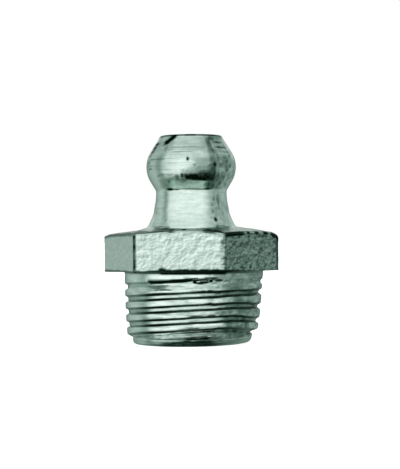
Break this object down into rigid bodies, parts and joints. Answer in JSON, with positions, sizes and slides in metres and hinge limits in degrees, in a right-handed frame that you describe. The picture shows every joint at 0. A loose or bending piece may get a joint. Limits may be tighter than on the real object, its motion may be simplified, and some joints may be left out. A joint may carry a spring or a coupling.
{
  "type": "grease nipple",
  "caption": "Straight grease nipple: a turned steel body with a ball-shaped coupler head, a hexagon and a short taper thread, holding a sprung check ball.",
  "frame": {"origin": "centre of the shank's flat end face, on the turning axis", "axes": "+Z along the turning axis from the shank's end to the grease inlet; one flat of the hexagon faces -Y and two of its corners lie on X"},
  "size_m": [0.0128, 0.011, 0.0149],
  "materials": {
    "zinc_plated_steel": "bright zinc plating over turned and drawn steel",
    "bearing_steel": "ground and polished ball",
    "spring_wire": "drawn spring wire"
  },
  "bodies": {
    "nipple": {"nipple_body": "zinc_plated_steel", "ball_spring": "spring_wire"},
    "ball": {"check_ball": "bearing_steel"}
  },
  "joints": [
    {"name": "ball_lift", "type": "slide", "parent": "nipple", "child": "ball", "axis": [0, 0, -1], "range_m": [0, 0.0008], "stiffness_N_per_m": 900, "springref_m": -0.0012, "deforming": ["ball_spring"]}
  ]
}
